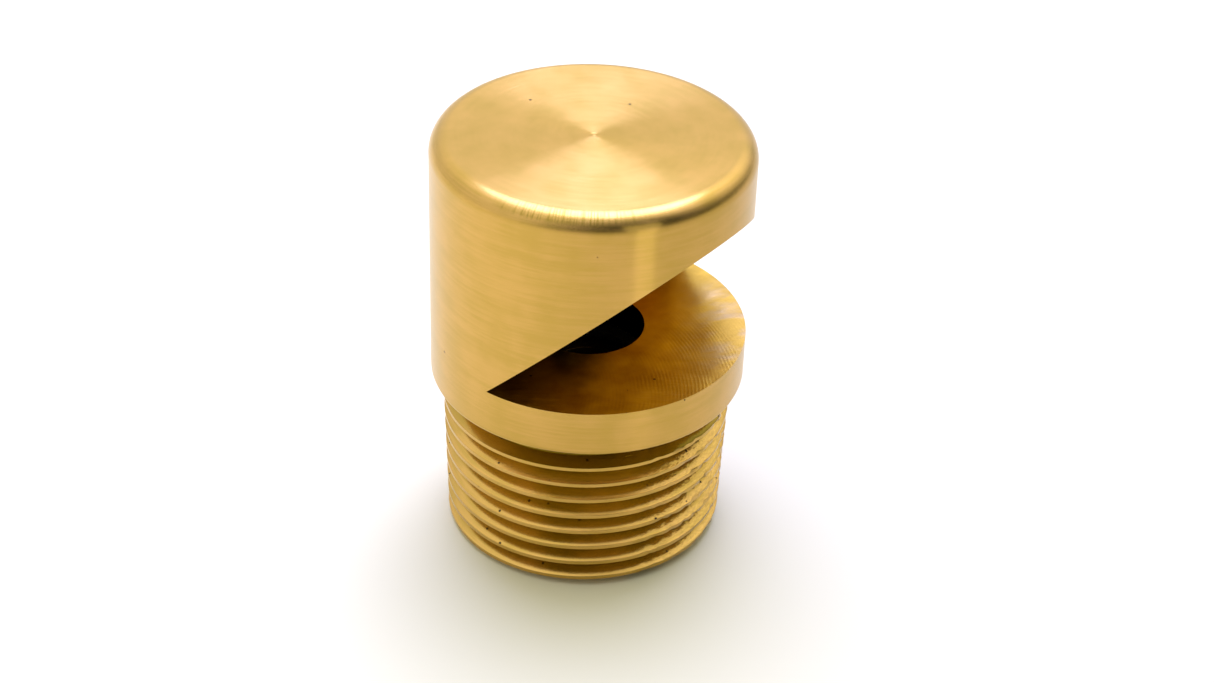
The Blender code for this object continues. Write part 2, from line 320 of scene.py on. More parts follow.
def stand_for(item, node, look=None):
    """Puts a finished mesh in the place of its CAD node, on that node's body."""
    if look:
        item.data.materials.clear()
        item.data.materials.append(look)
    smooth(item)
    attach(item, frame["nodes"][node]["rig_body"])
    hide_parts(node)


# ================================================================ material helpers
class Look:
    """A material with one Principled shader, and short calls for the nodes that feed it."""

    def __init__(self, name, colour, roughness, metallic):
        self.material = bpy.data.materials.new(name)
        self.material.use_nodes = True
        self.nodes = self.material.node_tree.nodes
        self.links = self.material.node_tree.links
        self.shader = self.nodes["Principled BSDF"]
        self.set("Base Color", (*colour, 1.0))
        self.set("Roughness", roughness)
        self.set("Metallic", metallic)

    def set(self, socket, value):
        self.shader.inputs[socket].default_value = value

    def feed(self, target, value):
        """Links a socket, or sets a constant."""
        if isinstance(value, bpy.types.NodeSocket):
            self.links.new(value, target)
        else:
            target.default_value = value

    def math(self, operation, first, second=0.0, third=0.0):
        node = self.nodes.new("ShaderNodeMath")
        node.operation = operation
        for target, value in zip(node.inputs, (first, second, third)):
            self.feed(target, value)
        return node.outputs[0]

    def times(self, first, second):
        return self.math("MULTIPLY", first, second)

    def weighted(self, value, weight, base):
        """The value times a weight, added to a base."""
        return self.math("MULTIPLY_ADD", value, weight, base)

    def vector_math(self, operation, first, second=(0.0, 0.0, 0.0)):
        node = self.nodes.new("ShaderNodeVectorMath")
        node.operation = operation
        self.feed(node.inputs[0], first)
        self.feed(node.inputs[1], second)
        return node.outputs["Value" if operation in ("LENGTH", "DOT_PRODUCT") else "Vector"]

    def combine(self, x, y, z):
        node = self.nodes.new("ShaderNodeCombineXYZ")
        for target, value in zip(node.inputs, (x, y, z)):
            self.feed(target, value)
        return node.outputs[0]

    def split(self, vector):
        node = self.nodes.new("ShaderNodeSeparateXYZ")
        self.feed(node.inputs[0], vector)
        return node.outputs

    def position(self):
        return self.nodes.new("ShaderNodeTexCoord").outputs["Object"]

    def height(self):
        return self.split(self.position())[2]

    def position_in_plan(self):
        """The position with its height left out."""
        x, y, _ = self.split(self.position())
        return self.combine(x, y, 0.0)

    def radius(self):
        """Distance from the Z axis."""
        return self.vector_math("LENGTH", self.position_in_plan())

    def outward(self):
        """Unit vector away from the Z axis."""
        return self.vector_math("NORMALIZE", self.position_in_plan())

    def noise(self, vector, scale, detail, fourth=None):
        node = self.nodes.new("ShaderNodeTexNoise")
        if fourth is not None:
            node.noise_dimensions = "4D"
            self.feed(node.inputs["W"], fourth)
        self.feed(node.inputs["Vector"], vector)
        node.inputs["Scale"].default_value = scale
        node.inputs["Detail"].default_value = detail
        return node.outputs["Fac"]

    def grain(self, per_mm, detail):
        """Noise all over the object, with about so many features to the millimetre."""
        return self.noise(self.position(), per_mm / MM, detail)

    def cells(self, vector, scale):
        """Distance to the nearest of scattered points, and a random number for each point's cell."""
        node = self.nodes.new("ShaderNodeTexVoronoi")
        self.feed(node.inputs["Vector"], vector)
        node.inputs["Scale"].default_value = scale
        return node.outputs["Distance"], self.split(node.outputs["Color"])[0]

    def remap(self, value, low, high, to_low=0.0, to_high=1.0):
        node = self.nodes.new("ShaderNodeMapRange")
        self.feed(node.inputs["Value"], value)
        limits = {"From Min": low, "From Max": high, "To Min": to_low, "To Max": to_high}
        for socket, number in limits.items():
            node.inputs[socket].default_value = number
        return node.outputs["Result"]

    def mix(self, amount, first, second):
        """A colour between two colours."""
        node = self.nodes.new("ShaderNodeMix")
        node.data_type = "RGBA"
        self.feed(node.inputs["Factor"], amount)
        colours = [socket for socket in node.inputs if socket.type == "RGBA"]
        for target, value in zip(colours, (first, second)):
            self.feed(target, (*value, 1.0) if isinstance(value, tuple) else value)
        return [socket for socket in node.outputs if socket.type == "RGBA"][0]

    def bump(self, height, depth, under=None):
        node = self.nodes.new("ShaderNodeBump")
        node.inputs["Strength"].default_value = 1.0
        node.inputs["Distance"].default_value = depth
        self.feed(node.inputs["Height"], height)
        if under is not None:
            self.feed(node.inputs["Normal"], under)
        return node.outputs["Normal"]

    def wire(self, **sockets):
        """Feeds the shader: colour, roughness and normal."""
        names = {"colour": "Base Color", "roughness": "Roughness", "normal": "Normal"}
        for key, value in sockets.items():
            self.feed(self.shader.inputs[names[key]], value)
        return self.material


# ================================================================ materials
# Colours, linear. Pairs are the darkest and the lightest that noise mixes between.
BRASS_LIGHT = (0.585, 0.355, 0.090)
BRASS_DEEP = (0.500, 0.315, 0.064)
BRASS_DULL = (0.20, 0.150, 0.090)
# Dark brass for painted shade in the thread's root and on its undersides, and for the chatter marks
BRASS_SHADE_AND_MARKS = (0.265, 0.180, 0.008)
# Painted shade under the collar
BRASS_SHADED = (0.240, 0.166, 0.012)
BRASS_SCUFF = (0.46, 0.33, 0.18)
MILLED_LIGHT = (0.64, 0.400, 0.024)
MILLED_DEEP = (0.40, 0.225, 0.012)
# Painted light on the back of the mouth's floor
MILLED_PAINTED_LIGHT = (0.86, 0.51, 0.025)
MILLED_TAN = (0.52, 0.325, 0.062)
# Dark pits, and the painted shade in the mouth's corner
PIT_AND_SHADE_COLOUR = (0.05, 0.03, 0.01)
# Painted shade on the seat plate
SEAT_SHADE_COLOUR = (0.050, 0.030, 0.012)
# Painted shade: the bore's walls nearly black
BORE_SHADE_COLOURS = ((0.004, 0.003, 0.001), (0.010, 0.006, 0.003))
STAINLESS = ((0.48, 0.48, 0.47), (0.62, 0.62, 0.60))
SPRING_STEEL = ((0.10, 0.10, 0.11), (0.22, 0.22, 0.23))
FLOAT_PLASTIC = ((0.72, 0.70, 0.63), (0.82, 0.81, 0.76))
BLACK_PLASTIC = ((0.018, 0.018, 0.018), (0.035, 0.034, 0.033))
# Floor colours: lit on the camera's left, painted shade on its right
FLOOR_LIT = (0.90, 0.86, 0.57)
FLOOR_SHADED = (0.64, 0.61, 0.41)

# Where marks, painted shade and painted light lie round the axis, in degrees from the camera's side: their
# middle, and the angles from there where they start to fade and where they end.
CHATTERED = (-8.0, 14.0, 30.0)
# Painted shade on the camera's side of the thread's undersides
CAMERA_SIDE_SHADE = (8.0, 21.0, 31.0)
# Painted reflection of the window, lightening that painted shade
WINDOW_REFLECTION_BAND = (8.0, 2.0, 12.0)
# Painted shade under the collar, strongest on the camera's side
COLLAR_SHADE_SIDE = (8.0, 25.0, 60.0)
TORN = (62.0, 22.0, 42.0)
COMBED = (50.0, 22.0, 60.0)
RUBBED = (90.0, 14.0, 38.0)
TANNED = (90.0, 30.0, 75.0)
# Painted light at the back of the mouth's floor
BACK_LIGHT_SIDE = (150.0, 30.0, 70.0)
# Painted shade in the mouth's corner
CORNER_SHADE_SIDE = (-60.0, 30.0, 90.0)
RAGGEDNESS = 0.06

# What most of a noise lies between, and the middle of that
NOISE_RANGE = (0.3, 0.7)
NOISE_MIDDLE = (0.35, 0.65)

# Marks
PIT_CELLS = 1.4 / MM
PIT_RADIUS = 0.13 * MM
TORN_PIT_SHARE = 0.28
BAND_WEIGHT = 0.35
FINE_WEIGHT = 0.60
CLOUD_WEIGHT = 0.60
TOP_LINES = 0.25
TURNED_TONES = (0.18, 0.42)
MILLED_TONES = (0.32, 0.68)
CHATTER_MARKS = 85.0
CHATTER_AMOUNT = 0.60
STREAK_DEPTH = 1.2 * MM
# Painted shade in the thread's root: where it starts, where it is full, and how dark it gets
ROOT_SHADE_STARTS = 1.00 * MM
ROOT_SHADE_FULL = 1.75 * MM
ROOT_SHADE_AMOUNT = 0.85
TEAR_BUMP = 0.05 * MM
DENT_BUMP = 0.006 * MM
MILL_CENTRE = (-17.0 * MM, 4.0 * MM, 0.0)
MILL_REACH = 20.0 * MM
MILL_STEP = 0.33 * MM
MILL_WANDER = 0.5 * MM
MILL_BUMP = 0.004 * MM
SMEAR_BUMP = 0.075 * MM
SWELL_BUMP = 0.22 * MM
# Width of the painted shade in the mouth's corner
CORNER_SHADE_WIDTH = 7.0 * MM
MARGIN_RADII = (8.0 * MM, 12.5 * MM)
COMBED_RADII = (6.0 * MM, 9.5 * MM)


def lathe_noise(look, lines_per_mm, spread, detail):
    """Noise drawn out round the Z axis, as a lathe tool leaves it."""
    lines = lines_per_mm / MM
    across, along, _ = look.split(look.outward())
    vector = look.combine(
        look.times(look.radius(), lines),
        look.times(look.height(), lines),
        look.times(across, spread),
    )
    return look.noise(vector, 1.0, detail, look.times(along, spread))


def pits(look, radius, share):
    """1 inside small scattered pits up to a radius, 0 elsewhere."""
    distance, chance = look.cells(look.position(), PIT_CELLS)
    near = look.math("LESS_THAN", distance, radius * PIT_CELLS)
    chosen = look.math("GREATER_THAN", chance, look.math("SUBTRACT", 1.0, share))
    return look.times(near, chosen)


def sector(look, azimuth, inner, outer):
    """1 near a direction round the axis, fading to 0 between two angles from it, with a ragged border."""
    facing = look.vector_math("DOT_PRODUCT", look.outward(), round_the_axis(azimuth, 1.0, 0.0))
    ragged = look.weighted(look.grain(0.8, 3.0), RAGGEDNESS, facing)
    starts, ends = (math.cos(math.radians(angle)) + RAGGEDNESS / 2.0 for angle in (outer, inner))
    return look.remap(ragged, starts, ends)


def turned_brass(
    name, roughness, line_depth, stretch=0.9, pit_share=0.005, dullness=0.0, shade=None, torn=False
):
    """Lathe-turned brass with fine rings, faint clouds and a few pits; shade changes its colour, with
    painted shade or chatter marks.
    """
    look = Look(name, BRASS_LIGHT, roughness, 1.0)
    fine = lathe_noise(look, lines_per_mm=5.0, spread=3.0, detail=2.0)
    bands = lathe_noise(look, lines_per_mm=1.6, spread=0.6, detail=4.0)
    clouds = look.grain(0.33, 4.0)
    lines = look.weighted(bands, BAND_WEIGHT, look.times(fine, FINE_WEIGHT))
    centred = look.math("SUBTRACT", lines, (BAND_WEIGHT + FINE_WEIGHT) / 2.0)
    calm = look.remap(look.height(), BODY_TOP - 0.3 * TOP_FILLET, BODY_TOP - 0.02 * MM, 1.0, TOP_LINES)
    tone = look.weighted(clouds, CLOUD_WEIGHT, look.times(centred, calm))
    colour = look.mix(look.remap(tone, *TURNED_TONES), BRASS_DEEP, BRASS_LIGHT)
    colour = look.mix(dullness, colour, BRASS_DULL)
    if shade:
        colour = shade(look, colour)
    share = look.weighted(sector(look, *TORN), TORN_PIT_SHARE, pit_share) if torn else pit_share
    colour = look.mix(pits(look, PIT_RADIUS, share), colour, PIT_AND_SHADE_COLOUR)
    rough = look.math(
        "ADD",
        look.remap(fine, *NOISE_RANGE, roughness - 0.02, roughness + 0.02),
        look.remap(clouds, *NOISE_RANGE, -0.01, 0.01),
    )
    look.set("Coat Weight", 0.05)
    look.set("Coat Roughness", 0.25)
    look.set("Anisotropic", stretch)
    look.set("Anisotropic Rotation", 0.25)
    tangent = look.nodes.new("ShaderNodeTangent")
    tangent.direction_type = "RADIAL"
    tangent.axis = "Z"
    look.links.new(tangent.outputs[0], look.shader.inputs["Tangent"])
    normal = look.bump(fine, line_depth)
    if torn:
        normal = galling(look, normal)
    return look.wire(colour=colour, roughness=rough, normal=normal)


def chatter(look, colour):
    """Short tool chatter marks across the top's rounded edge."""
    z = look.height()
    across, along, _ = look.split(look.outward())
    spin = look.combine(
        look.times(across, CHATTER_MARKS),
        look.times(along, CHATTER_MARKS),
        look.times(z, 0.8 / MM),
    )
    top = look.remap(z, BODY_TOP - 0.50 * TOP_FILLET, BODY_TOP - 0.32 * TOP_FILLET)
    rim = look.remap(look.radius(), BODY_RADIUS - 1.1 * TOP_FILLET, BODY_RADIUS - 0.7 * TOP_FILLET)
    where = look.times(look.times(top, rim), sector(look, *CHATTERED))
    marks = look.times(look.remap(look.noise(spin, 1.0, 3.0), 0.45, 0.65), where)
    return look.mix(look.times(marks, CHATTER_AMOUNT), colour, BRASS_SHADE_AND_MARKS)


def seat_shade(look, colour):
    """Painted shade over nearly all of the seat plate: a mottled brown darkening."""
    stain = look.remap(look.grain(0.5, 3.0), *NOISE_MIDDLE, 0.95, 0.65)
    return look.mix(stain, colour, SEAT_SHADE_COLOUR)


def galling(look, under):
    """Small dents all over the thread's flanks, with torn metal on one side."""
    dents = look.bump(look.grain(1.5, 2.0), DENT_BUMP, under)
    tears = look.times(look.grain(2.4, 4.0), sector(look, *TORN))
    return look.bump(tears, TEAR_BUMP, dents)


def shade_under_collar(look, colour):
    """Painted shade on the neck and the last turn of the thread, under the collar, strongest on the camera's
    side.
    """
    last_turn = (RELIEF_BOTTOM - THREAD_PITCH, RELIEF_BOTTOM - 0.5 * THREAD_PITCH)
    collar_shade = look.remap(look.height(), *last_turn)
    side = look.weighted(sector(look, *COLLAR_SHADE_SIDE), 0.7, 0.3)
    return look.mix(look.times(collar_shade, side), colour, BRASS_SHADED)


def root_shade_and_streaks(look, colour):
    """Painted shade in the thread, darkest at the root, broken by thin streaks that follow the turns; under
    the collar, more painted shade.
    """
    cone = look.weighted(look.height(), TAPER, crest_radius(0.0))
    depth = look.math("SUBTRACT", cone, look.radius())
    streaks = look.times(lathe_noise(look, lines_per_mm=1.6, spread=2.5, detail=3.0), STREAK_DEPTH)
    painted_shade = look.remap(look.math("ADD", depth, streaks), ROOT_SHADE_STARTS, ROOT_SHADE_FULL, 0.0, ROOT_SHADE_AMOUNT)
    return shade_under_collar(look, look.mix(painted_shade, colour, BRASS_SHADE_AND_MARKS))


def shade_undersides(look, colour):
    """Painted shade on the undersides, strongest on the camera's side, lightened in its middle by a painted
    reflection of the window.
    """
    side_shade = look.weighted(sector(look, *CAMERA_SIDE_SHADE), 0.5, 0.5)
    painted_shade = look.weighted(sector(look, *WINDOW_REFLECTION_BAND), -0.25, side_shade)
    return shade_under_collar(look, look.mix(painted_shade, colour, BRASS_SHADE_AND_MARKS))


def milled_brass(name):
    """The floor and roof of the mouth, with the end mill's curved feed marks and hand-rubbed smears."""
    look = Look(name, BRASS_LIGHT, 0.2, 1.0)
    x, y, z = look.split(look.vector_math("SUBTRACT", look.position(), MILL_CENTRE))
    sweep = look.vector_math("LENGTH", look.combine(x, y, 0.0))
    swing = look.times(look.math("ARCTAN2", y, x), MILL_REACH)
    margin = look.remap(look.radius(), *MARGIN_RADII)

    # Feed marks: arcs about the mill's centre, plain on one side and faint elsewhere
    wander = look.grain(0.25, 3.0)
    phase = look.weighted(wander, MILL_WANDER, sweep)
    wave = look.math("SINE", look.times(phase, FULL_TURN / MILL_STEP))
    combed = look.times(sector(look, *COMBED), look.remap(look.radius(), *COMBED_RADII))
    patch = look.remap(look.grain(0.30, 2.0), 0.35, 0.60)
    lines = look.times(wave, look.weighted(look.times(patch, combed), 0.95, 0.03))

    # Smears: noise drawn out across the feed marks
    along = look.combine(
        look.times(sweep, 0.26 / MM),
        look.times(swing, 0.8 / MM),
        look.times(z, 0.5 / MM),
    )
    smears = look.noise(along, 1.0, 3.0)
    clouds = look.grain(0.35, 5.0)

    # Colour: clouds, painted shade in the mouth's corner, painted light at the back, then the rubbed outer
    # end
    tone = look.math("ADD", clouds, look.times(lines, 0.06))
    colour = look.mix(look.remap(tone, *MILLED_TONES), MILLED_DEEP, MILLED_LIGHT)
    # Painted shade: darker towards the mouth's corner under its roof
    corner = MOUTH_VERTEX_Y - MILL_CENTRE[1]
    corner_shade = look.remap(y, corner - CORNER_SHADE_WIDTH, corner, 0.0, 0.5)
    colour = look.mix(look.times(corner_shade, sector(look, *CORNER_SHADE_SIDE)), colour, PIT_AND_SHADE_COLOUR)
    # Painted light: lighter metal at the back of the floor, where light reflected from the roof falls
    inner = look.times(sector(look, *BACK_LIGHT_SIDE), look.weighted(margin, -0.55, 0.60))
    painted_back_light = look.times(inner, look.remap(smears, 0.30, 0.60, 0.5, 1.0))
    colour = look.mix(painted_back_light, colour, MILLED_PAINTED_LIGHT)
    tanned = look.times(sector(look, *TANNED), margin)
    colour = look.mix(look.times(tanned, 0.80), colour, MILLED_TAN)
    rubbed = look.times(sector(look, *RUBBED), margin)
    scuff = look.times(look.remap(smears, 0.44, 0.64), rubbed)
    colour = look.mix(look.times(scuff, 0.85), colour, BRASS_SCUFF)
    colour = look.mix(pits(look, PIT_RADIUS, 0.03), colour, PIT_AND_SHADE_COLOUR)

    rough = look.weighted(rubbed, 0.06, look.remap(clouds, *NOISE_RANGE, 0.28, 0.36))
    marks = look.bump(lines, MILL_BUMP)
    drawn = look.bump(look.times(smears, margin), SMEAR_BUMP, marks)
    swell = look.bump(look.grain(0.2, 2.0), SWELL_BUMP, drawn)
    return look.wire(colour=colour, roughness=rough, normal=swell)


def bore_shade_brass():
    """Drilled walls, painted nearly black as painted shade inside the deep hole."""
    look = Look("bore_shade_brass", BRASS_DEEP, 0.35, 1.0)
    rings = lathe_noise(look, lines_per_mm=3.0, spread=1.0, detail=3.0)
    clouds = look.grain(0.4, 3.0)
    colour = look.mix(look.remap(clouds, *NOISE_MIDDLE), *BORE_SHADE_COLOURS)
    rough = look.remap(rings, *NOISE_RANGE, 0.55, 0.70)
    return look.wire(colour=colour, roughness=rough, normal=look.bump(rings, 0.001 * MM))


def rubber(name, shade):
    """Matte black rubber with a fine grain and a faint bloom."""
    look = Look(name, (shade, shade, shade), 0.7, 0.0)
    grain = look.grain(6.0, 3.0)
    bloom = look.grain(0.4, 3.0)
    dark = (shade * 0.7, shade * 0.7, shade * 0.7)
    light = (shade * 1.6, shade * 1.6, shade * 1.55)
    colour = look.mix(look.remap(bloom, 0.35, 0.7), dark, light)
    rough = look.remap(bloom, *NOISE_RANGE, 0.6, 0.8)
    return look.wire(colour=colour, roughness=rough, normal=look.bump(grain, 0.01 * MM))


def moulded(name, dark, light, roughness):
    """Moulded plastic with a fine grain and soft flow marks."""
    look = Look(name, light, roughness, 0.0)
    grain = look.grain(8.0, 2.0)
    flow = look.grain(0.25, 3.0)
    colour = look.mix(look.remap(flow, *NOISE_RANGE), dark, light)
    rough = look.remap(grain, *NOISE_RANGE, roughness - 0.06, roughness + 0.06)
    return look.wire(colour=colour, roughness=rough, normal=look.bump(grain, 0.004 * MM))


def steel(name, dark, light, roughness):
    """Rolled or drawn steel with fine lines along X, and slight staining."""
    look = Look(name, light, roughness, 1.0)
    x, y, z = look.split(look.position())
    lines = look.combine(look.times(x, 0.4 / MM), look.times(y, 9.0 / MM), look.times(z, 9.0 / MM))
    brushed = look.noise(lines, 1.0, 3.0)
    stain = look.grain(0.3, 3.0)
    colour = look.mix(look.remap(stain, *NOISE_MIDDLE), dark, light)
    rough = look.remap(brushed, *NOISE_RANGE, roughness - 0.07, roughness + 0.09)
    return look.wire(colour=colour, roughness=rough, normal=look.bump(brushed, 0.003 * MM))


# ================================================================ body
# The body's finishes, in the order of its materials, and the slack when a face is sorted into one
# The fifth finish carries painted shade on the neck and the thread's downward flanks; the bore's is painted
# nearly black as painted shade
TURNED, THREAD, MILLED, IN_BORE, SHADED_UNDERSIDE = range(5)
FACE_SLACK = 0.1 * MM
UPRIGHT = 0.3


def crest_radius(height):
    """Radius of the thread's crest cone at a height."""
    return CREST_RADIUS_AT_COLLAR - (COLLAR_UNDERSIDE - height) * TAPER


def body_profile():
    """Outer side from the top's centre down to the shank's end, then the chamber and the outlet bore."""
    fillet_centre = (BODY_RADIUS - TOP_FILLET, BODY_TOP - TOP_FILLET)
    outer = [
        (0.0, BODY_TOP),
        (DIMPLE_STEP, BODY_TOP - DIMPLE_DEPTH),
        (2.0 * DIMPLE_STEP, BODY_TOP - DIMPLE_DEPTH / 2.0),
        (3.0 * DIMPLE_STEP, BODY_TOP),
    ]
    outer += arc(fillet_centre, TOP_FILLET, math.pi / 2.0, 0.0, FILLET_STEPS)
    outer += [
        (BODY_RADIUS, LEDGE_HEIGHT),
        (BODY_RADIUS, COLLAR_UNDERSIDE + COLLAR_CHAMFER),
        (BODY_RADIUS - 0.3 * COLLAR_CHAMFER, COLLAR_UNDERSIDE + 0.3 * COLLAR_CHAMFER),
        (BODY_RADIUS - COLLAR_CHAMFER, COLLAR_UNDERSIDE),
        (RELIEF_RADIUS + EDGE, COLLAR_UNDERSIDE),
        (RELIEF_RADIUS + 0.3 * EDGE, COLLAR_UNDERSIDE - 0.3 * EDGE),
        (RELIEF_RADIUS, COLLAR_UNDERSIDE - EDGE),
        (RELIEF_RADIUS, RELIEF_BOTTOM),
        (crest_radius(RELIEF_BOTTOM - RELIEF_RAMP), RELIEF_BOTTOM - RELIEF_RAMP),
        (crest_radius(END_CHAMFER), END_CHAMFER),
        (crest_radius(0.0) - END_CHAMFER, 0.0),
    ]
    drill_tip = LEDGE_HEIGHT + OUTLET_RADIUS / math.tan(DRILL_HALF_ANGLE)
    inner = [
        (CHAMBER_RADIUS + EDGE, 0.0),
        (CHAMBER_RADIUS, EDGE),
        (CHAMBER_RADIUS, RING_GROOVE_BOTTOM),
        (RING_GROOVE_RADIUS, RING_GROOVE_BOTTOM),
        (RING_GROOVE_RADIUS, RING_GROOVE_TOP),
        (CHAMBER_RADIUS, RING_GROOVE_TOP),
        (CHAMBER_RADIUS, CHAMBER_ROOF),
        (OUTLET_RADIUS, CHAMBER_ROOF),
        (OUTLET_RADIUS, LEDGE_HEIGHT),
        (0.0, drill_tip),
    ]
    return outer + inner


def thread_groove():
    """The groove between the thread's crests: one closed section carried along a right-hand helix."""
    mouth_half = (THREAD_PITCH - CREST_FLAT) / 2.0
    slope = math.tan(THREAD_FLANK)
    root_half = mouth_half - THREAD_DEPTH * slope
    crest = crest_radius(THREAD_END_HEIGHT)
    start = THREAD_END_HEIGHT - (THREAD_TURNS - THREAD_START_ANGLE / FULL_TURN) * THREAD_PITCH
    root = rounded(
        [
            (-CREST_EASE, -mouth_half + CREST_EASE * slope),
            (-THREAD_DEPTH, -root_half),
            (-THREAD_DEPTH, root_half),
            (-CREST_EASE, mouth_half - CREST_EASE * slope),
        ],
        ROOT_ROUNDING,
        is_loop=False,
    )
    rim = mouth_half + 0.7 * CREST_EASE
    above = [(-0.35 * CREST_EASE, mouth_half + 0.15 * CREST_EASE), (0.05 * CREST_EASE, rim)]
    below = [(out, -up) for out, up in reversed(above)]
    section = [(CUTTER_REACH, rim), (CUTTER_REACH, -rim)] + below + root + above
    profile = [(crest + out, start + up) for out, up in section]
    item = turned("thread_groove", profile, BODY_STEPS, True, THREAD_PITCH, THREAD_TURNS)
    item.data.transform(Matrix.Rotation(THREAD_START_ANGLE, 4, "Z"))
    for vertex in item.data.vertices:
        radius = math.hypot(vertex.co.x, vertex.co.y)
        narrowed = radius - (THREAD_END_HEIGHT - vertex.co.z) * TAPER
        vertex.co.x *= narrowed / radius
        vertex.co.y *= narrowed / radius
    return item


def mouth_wedge():
    """The wedge milled out of the side: a flat floor and a sloping roof that meet near the axis."""
    reach = 2.0 * BODY_RADIUS
    rise = (reach + MOUTH_VERTEX_Y) * math.tan(MOUTH_ROOF_SLOPE)
    outline = [
        (MOUTH_VERTEX_Y, LEDGE_HEIGHT),
        (-reach, LEDGE_HEIGHT + rise),
        (-reach, LEDGE_HEIGHT),
    ]
    item = cut_plate("mouth_wedge", [outline], -reach, reach)
    item.data.transform(Matrix.Rotation(math.pi / 2.0, 4, "Z") @ Matrix.Rotation(math.pi / 2.0, 4, "X"))
    return item


def on_mouth(point):
    """Whether a point lies on the mouth's floor or roof."""
    roof = LEDGE_HEIGHT + (MOUTH_VERTEX_Y - point.y) * math.tan(MOUTH_ROOF_SLOPE)
    near_plane = min(abs(point.z - LEDGE_HEIGHT), abs(point.z - roof)) < ON_PLANE
    return near_plane and point.y < MOUTH_VERTEX_Y + ON_PLANE


def break_mouth_edges(item):
    """A fine bevel where the mouth's floor and roof meet the outside and the outlet hole."""
    shell = bmesh.new()
    shell.from_mesh(item.data)
    edges = []
    for edge in shell.edges:
        if not edge.is_manifold or edge.calc_face_angle_signed() < SMOOTH_ANGLE:
            continue
        if all(on_mouth(vertex.co) for vertex in edge.verts):
            edges.append(edge)
    bmesh.ops.bevel(
        shell, geom=edges, offset=MOUTH_EDGE_BREAK, offset_type="OFFSET", segments=2, profile=0.5,
        affect="EDGES", clamp_overlap=True,
    )
    shell.to_mesh(item.data)
    shell.free()


def shank_finish(face, radius):
    """The finish of a face below the collar: turned crests, painted shade on the neck and downward flanks,
    bare thread.
    """
    height = face.center.z
    if radius <= RING_GROOVE_RADIUS + FACE_SLACK:
        return IN_BORE
    if height > RELIEF_BOTTOM - RELIEF_RAMP:
        return SHADED_UNDERSIDE
    if abs(face.normal.z) < UPRIGHT and radius > crest_radius(height) - FACE_SLACK:
        return TURNED
    if face.normal.z < -UPRIGHT and height > END_CHAMFER:
        return SHADED_UNDERSIDE
    return THREAD


def finish_of(face):
    """The finish of a face of the body, by where its middle is."""
    centre = face.center
    radius = math.hypot(centre.x, centre.y)
    if centre.z < COLLAR_UNDERSIDE - 0.1 * FACE_SLACK:
        return shank_finish(face, radius)
    if radius < CHAMBER_RADIUS + FACE_SLACK and centre.z < LEDGE_HEIGHT - FACE_SLACK:
        return IN_BORE
    drilled = radius < BODY_RADIUS - 5.0 * FACE_SLACK
    if on_mouth(centre) or (drilled and LEDGE_HEIGHT < centre.z < BODY_TOP - 2.0 * TOP_FILLET):
        return MILLED
    return TURNED


def tear_crests(item):
    """Nicks in the thread's crests on the torn side, left by a dull die."""
    toward = Vector(round_the_axis(TORN[0], 1.0, 0.0))
    for vertex in item.data.vertices:
        radius = math.hypot(vertex.co.x, vertex.co.y)
        below_crest = radius < crest_radius(vertex.co.z) - 0.5 * FACE_SLACK
        if below_crest or vertex.co.z > RELIEF_BOTTOM - RELIEF_RAMP:
            continue
        facing = (vertex.co.x * toward.x + vertex.co.y * toward.y) / radius
        share = min(1.0, max(0.0, (facing - TEAR_STARTS) / (TEAR_FULL - TEAR_STARTS)))
        nick = max(0.0, noise.noise(vertex.co * TEAR_SCALE) - TEAR_THRESHOLD)
        depth = nick * TEAR_DEPTH * share
        vertex.co.x *= 1.0 - depth / radius
        vertex.co.y *= 1.0 - depth / radius


def build_body():
    body = turned("vent_body_fine", body_profile(), BODY_STEPS, is_loop=False)
    body = subtract(body, mouth_wedge())
    break_mouth_edges(body)
    body = subtract(body, thread_groove())
    tear_crests(body)
    body.data.materials.clear()
    for look in (
        turned_brass("turned_brass", 0.245, 0.0010 * MM, shade=chatter),
        # The thread's look carries painted shade in its root
        turned_brass(
            "thread_brass", 0.17, 0.003 * MM,
            stretch=0.3, pit_share=0.06, dullness=0.03, shade=root_shade_and_streaks, torn=True,
        ),
        milled_brass("milled_brass"),
        # The bore's look is painted nearly black as painted shade
        bore_shade_brass(),
        # The undersides' look carries painted shade
        turned_brass("underside_shade_brass", 0.25, 0.002 * MM, stretch=0.4, pit_share=0.02, shade=shade_undersides),
    ):
        body.data.materials.append(look)
    for face in body.data.polygons:
        face.material_index = finish_of(face)
    stand_for(body, "vent_body")


# ================================================================ inner pieces
def ring(name, inner, outer, bottom, top, edge=EDGE):
    """A flat ring or a tube with eased edges."""
    profile = [(outer, top), (outer, bottom), (inner, bottom), (inner, top)]
    return turned(name, rounded(profile, edge))


def build_seat():
    low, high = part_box("seat_plate")
    plate_bottom = high.z - SEAT_PLATE_THICKNESS
    profile = [
        (STACK_RADIUS, high.z),
        (STACK_RADIUS, plate_bottom),
        (SEAT_LIP_RADIUS, plate_bottom),
        (SEAT_HOLE_RADIUS + SEAT_LIP_FLAT, low.z),
        (SEAT_HOLE_RADIUS, low.z),
        (SEAT_HOLE_RADIUS, high.z),
    ]
    plate = turned("seat_plate_fine", rounded(profile, EDGE))
    # The seat plate is darkened all over as painted shade
    stand_for(plate, "seat_plate", turned_brass("seat_brass", 0.32, 0.003 * MM, shade=seat_shade))
    low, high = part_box("seat_gasket")
    gasket = ring("seat_gasket_fine", GASKET_HOLE_RADIUS, STACK_RADIUS, low.z, high.z, GASKET_EDGE)
    stand_for(gasket, "seat_gasket", rubber("seal_rubber", 0.012))


